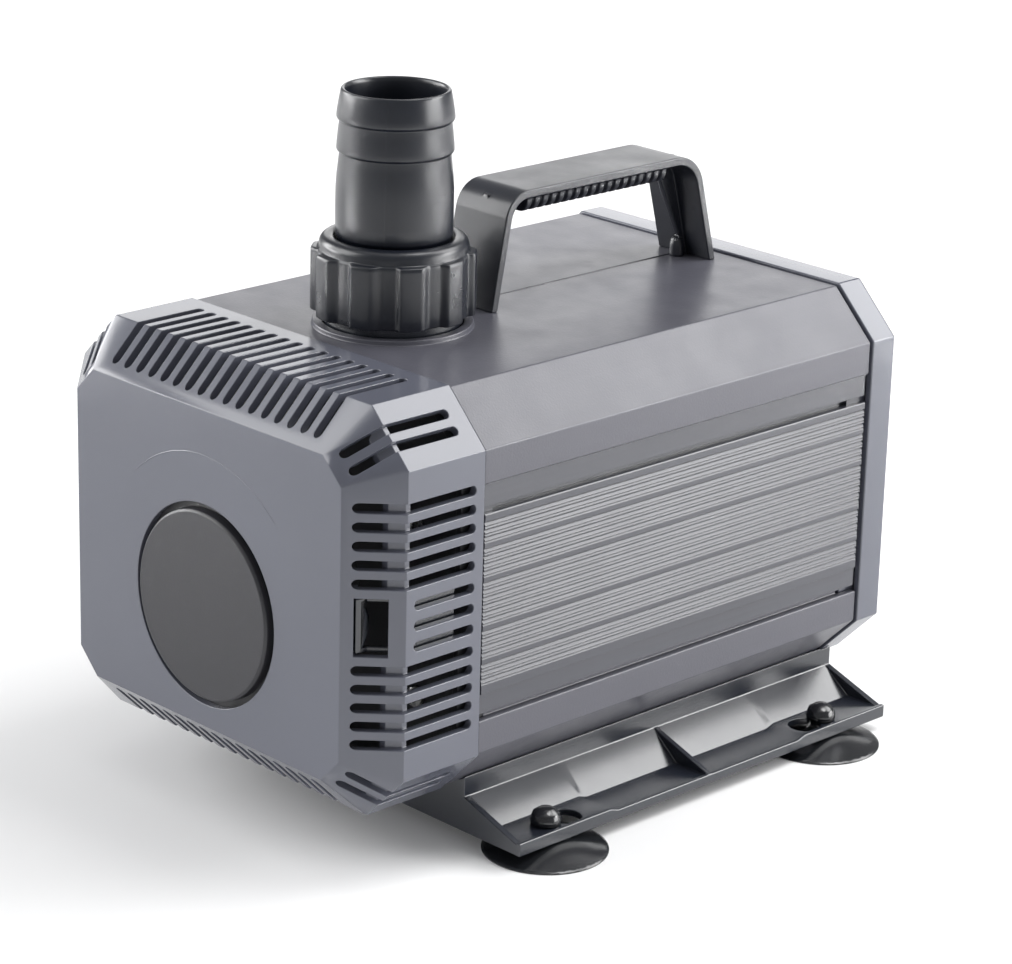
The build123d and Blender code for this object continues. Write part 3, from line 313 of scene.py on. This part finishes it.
def hose_tail():
    """Stepped hose tail with a faint moulding seam down two sides."""
    outer = [
        # flange and neck inside the nut, then the straight foot
        (23.6, 187.0), (23.6, 191.0), (19.6, 191.0), (19.6, 197.9), (20.1, 198.2),
        (20.3, 198.5), (20.3, 204), (20.3, 210),
        # waist below the lower ring
        (20.25, 214.5), (19.95, 219), (19.45, 223.5), (19.15, 226.7), (19.15, 227.05),
        # lower ring
        (19.35, 227.15), (19.9, 227.5), (20.12, 227.9), (20.15, 228.5), (20.05, 230), (19.6, 234.5),
        (19.2, 237.6), (19.2, 237.95),
        # upper ring, the lip and the bore
        (19.4, 238.1), (19.95, 238.5), (20.18, 239.0), (20.2, 239.6),
        (20.0, 241.4), (19.4, 245), (18.85, 247.9), (18.7, 248.4), (18.4, 248.75), (18.0, 248.8),
        (17.6, 248.65), (17.35, 248.2), (17.2, 247.2), (17.0, 244), (17.0, 215), (17.0, 187.0),
    ]

    def profile(angle):
        seam = 0
        for at in SEAM_ANGLES:
            away = (angle - at + math.pi) % (2 * math.pi) - math.pi
            seam += SEAM_HEIGHT * math.exp(-(away / SEAM_SPREAD) ** 2)
        return [(r + seam if 19 < r < 21 else r, z) for r, z in outer]
    ring = ring_solid(OUTLET, TAIL_STEPS, profile)
    piece("hose_tail_stepped", ring, OUTLET_PLASTIC, "tail", ["hose_tail"])


ARC_RADIUS = 0.0533
ARC_START = 45            # degrees
ARC_TURN = 90
ARC_STEPS = 72
ARC_WIDTH = 0.00055
ARC_HEIGHT = 0.00016
TICK_STEPS = 7
TICK_PITCH = 0.0004
TICK_START = -0.0012
TICK_WIDTH = 0.0005
TICK_HEIGHT = 0.00014
RIDGE_POINTS = 5          # points across a ridge
RIDGE_SUNK = 0.00006      # how far a ridge's edges lie inside the face


def ridge_strip(bm, path, across, width, height):
    """Low rounded ridge along path, on a flat face; across gives its side direction."""
    rows = []
    outward = Vector((0, -1, 0))
    count = len(path)
    for k, point in enumerate(path):
        taper = min(1.0, (k + 0.2) / 3, (count - 0.8 - k) / 3)
        row = []
        for i in range(RIDGE_POINTS):
            t = i / (RIDGE_POINTS - 1) * 2 - 1
            lift = height * taper * (1 - t * t) - RIDGE_SUNK
            row.append(bm.verts.new(Vector(point) + across[k] * (t * width / 2) + outward * lift))
        rows.append(row)
    for a, b in zip(rows, rows[1:]):
        for i in range(RIDGE_POINTS - 1):
            bm.faces.new((a[i], b[i], b[i + 1], a[i + 1]))
        bm.faces.new((a[-1], b[-1], b[0], a[0]))
    for row in (rows[0], rows[-1]):
        bm.faces.new(row)


def front_arc():
    """Fine raised arc over the inlet cap, with a short tick at each end."""
    cage_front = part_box("strainer_cage")[0].y
    cap_low, cap_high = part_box("inlet_cap")
    middle = Vector(((cap_low.x + cap_high.x) / 2, cage_front, (cap_low.z + cap_high.z) / 2))
    bm = bmesh.new()
    path, across = [], []
    for k in range(ARC_STEPS + 1):
        angle = math.radians(ARC_START + ARC_TURN * k / ARC_STEPS)
        out = Vector((math.cos(angle), 0, math.sin(angle)))
        path.append(middle + out * ARC_RADIUS)
        across.append(out)
    ridge_strip(bm, path, across, ARC_WIDTH, ARC_HEIGHT)
    for end, before in ((path[0], path[1]), (path[-1], path[-2])):
        out = (end - middle).normalized()
        along = (end - before).normalized()
        tick = [end + out * (TICK_PITCH * i + TICK_START) for i in range(TICK_STEPS)]
        ridge_strip(bm, tick, [along] * TICK_STEPS, TICK_WIDTH, TICK_HEIGHT)
    piece("front_arc_line", bm, CAGE, "strainer")


union_nut()
hose_tail()
front_arc()


# ---- floor, light and camera ---------------------------------------------------------
FLOOR_HALF = 8.0
WORLD_STRENGTH = 0.30
MIDDLE = (0, 0, 0.1)      # what the lights face

# name, place, target, width, height, watts, spread in degrees
LIGHTS = (
    ("key_left", (-2.2, -2.6, 2.0), MIDDLE, 2.6, 2.4, 86, 180),
    ("side_right", (2.3, 1.9, 0.50), MIDDLE, 2.0, 1.0, 42, 180),
    ("slope_light", (0.77, 1.78, 1.80), MIDDLE, 1.6, 1.1, 33, 180),
    ("edge_right", (1.48, 1.90, 0.97), MIDDLE, 1.4, 0.25, 22, 180),
    ("edge_left", (-2.20, -1.50, 0.45), MIDDLE, 1.0, 0.25, 14, 180),
    ("back_left", (-2.0, 2.0, 0.75), MIDDLE, 1.5, 0.9, 8.5, 180),
    ("side_left", (-2.6, -0.6, 0.9), MIDDLE, 0.9, 1.4, 34, 180),
    ("ceiling", (0, 0, 3.0), MIDDLE, 3.0, 3.0, 14, 180),
    ("table_right", (0.55, 0.50, 1.4), (0.55, 0.50, 0), 0.8, 0.8, 4, 75),
    ("patch_left", (-0.64, -0.72, 0.9), (-0.64, -0.72, 0), 0.42, 0.42, 9, 12),
    ("patch_right", (0.47, 0.72, 1.0), (0.47, 0.72, 0), 0.42, 0.34, 10, 12),
)

CAMERA_PLACE = (0.8672, -0.8429, 0.5125)
CAMERA_YAW = math.radians(-45.76)
CAMERA_PITCH = math.radians(19.12)
CAMERA_ROLL = math.radians(1.47)
LENS = 126.06
SHIFT = (0.01166, 0.00988)


def floor():
    """A plain pale floor."""
    mesh = bpy.data.meshes.new("floor")
    half = FLOOR_HALF
    corners = [(-half, -half, 0), (half, -half, 0), (half, half, 0), (-half, half, 0)]
    mesh.from_pydata(corners, [], [(0, 1, 2, 3)])
    ground = bpy.data.objects.new("floor", mesh)
    SCENE.collection.objects.link(ground)
    n = Nodes("floor_paper")
    soft = n.spread(n.noise(3, 2), 0, 1)
    n.link(n.mix(soft, (0.86, 0.86, 0.86), (0.88, 0.88, 0.88)), n.shader.inputs["Base Color"])
    n.shader.inputs["Roughness"].default_value = 0.9
    mesh.materials.append(n.material)


def softbox(name, place, target, width, height, power, spread):
    """A rectangular area light at place, facing target."""
    light = bpy.data.lights.new(name, "AREA")
    light.spread = math.radians(spread)
    light.shape = "RECTANGLE"
    light.size = width
    light.size_y = height
    light.energy = power
    box = bpy.data.objects.new(name, light)
    SCENE.collection.objects.link(box)
    box.location = place
    aim = Vector(target) - Vector(place)
    box.rotation_euler = aim.to_track_quat("-Z", "Y").to_euler()


def lighting():
    """An even, slightly cool surround and the softboxes."""
    world = bpy.data.worlds.new("studio")
    world.use_nodes = True
    sky = world.node_tree.nodes["Background"]
    sky.inputs["Color"].default_value = (0.97, 0.98, 1.0, 1)
    sky.inputs["Strength"].default_value = WORLD_STRENGTH
    SCENE.world = world
    for light in LIGHTS:
        softbox(*light)


def camera():
    """The view of the whole pump from its front right corner, a little from above."""
    level = math.cos(CAMERA_PITCH)
    ahead = Vector((
        math.sin(CAMERA_YAW) * level,
        math.cos(CAMERA_YAW) * level,
        -math.sin(CAMERA_PITCH),
    ))
    right = Vector((math.cos(CAMERA_YAW), -math.sin(CAMERA_YAW), 0))
    up = right.cross(ahead)
    tilted_right = right * math.cos(CAMERA_ROLL) + up * math.sin(CAMERA_ROLL)
    tilted_up = up * math.cos(CAMERA_ROLL) - right * math.sin(CAMERA_ROLL)
    data = bpy.data.cameras.new("camera")
    data.sensor_width = 36
    data.lens = LENS
    data.shift_x, data.shift_y = SHIFT
    eye = bpy.data.objects.new("camera", data)
    SCENE.collection.objects.link(eye)
    turn = Matrix((tilted_right, tilted_up, -ahead)).transposed()
    eye.matrix_world = Matrix.Translation(CAMERA_PLACE) @ turn.to_4x4()
    SCENE.camera = eye


floor()
lighting()
camera()
SCENE.view_settings.view_transform = "Standard"
SCENE.view_settings.look = "None"
